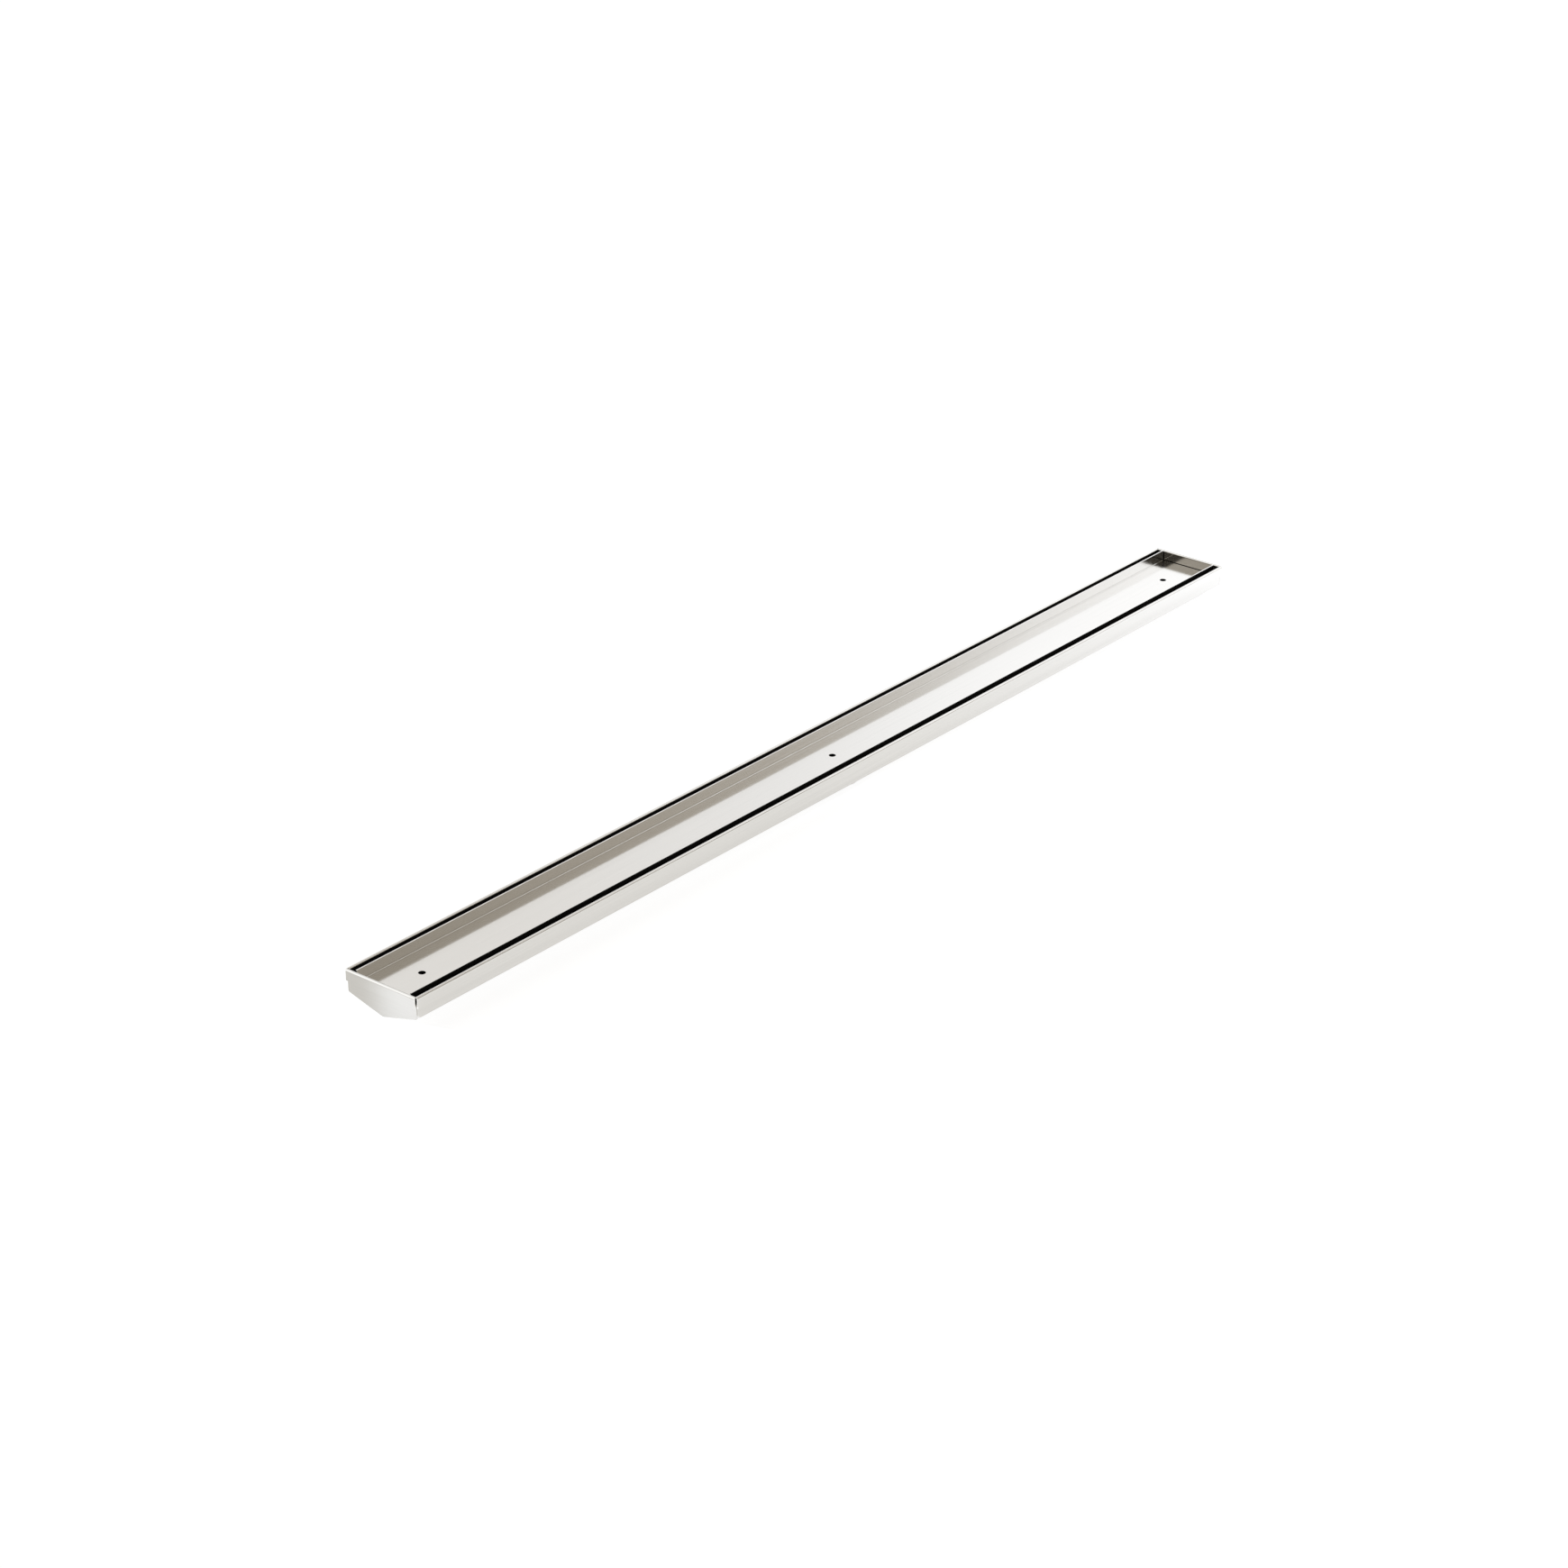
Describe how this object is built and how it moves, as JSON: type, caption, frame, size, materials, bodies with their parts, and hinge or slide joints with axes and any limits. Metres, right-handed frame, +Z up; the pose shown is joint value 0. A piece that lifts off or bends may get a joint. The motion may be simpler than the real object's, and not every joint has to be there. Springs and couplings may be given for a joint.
{
  "type": "linear shower drain",
  "caption": "Long narrow shower drain: a hemmed steel channel with a folded V floor and a centre outlet, holding a lift-out tile tray with drain slots down both sides.",
  "frame": {"origin": "middle of the drain's length and width, on the plane of its underside", "axes": "+X along the drain towards the far end of the picture, +Y across it towards the picture's left, +Z up"},
  "size_m": [1, 0.0692, 0.0268],
  "materials": {
    "channel_steel": "stainless sheet, fine brushing along the drain",
    "collar_steel": "stainless tube, turned finish",
    "tray_steel": "stainless sheet, fine brushing along the tray",
    "bridge_steel": "stainless strip, mill finish"
  },
  "bodies": {
    "root": {"channel_body": "channel_steel", "end_plate_near": "channel_steel", "end_plate_far": "channel_steel", "outlet_collar": "collar_steel", "tile_tray": "tray_steel", "tray_bridge_1": "bridge_steel", "tray_bridge_2": "bridge_steel", "tray_bridge_3": "bridge_steel", "tray_bridge_4": "bridge_steel"}
  },
  "joints": []
}
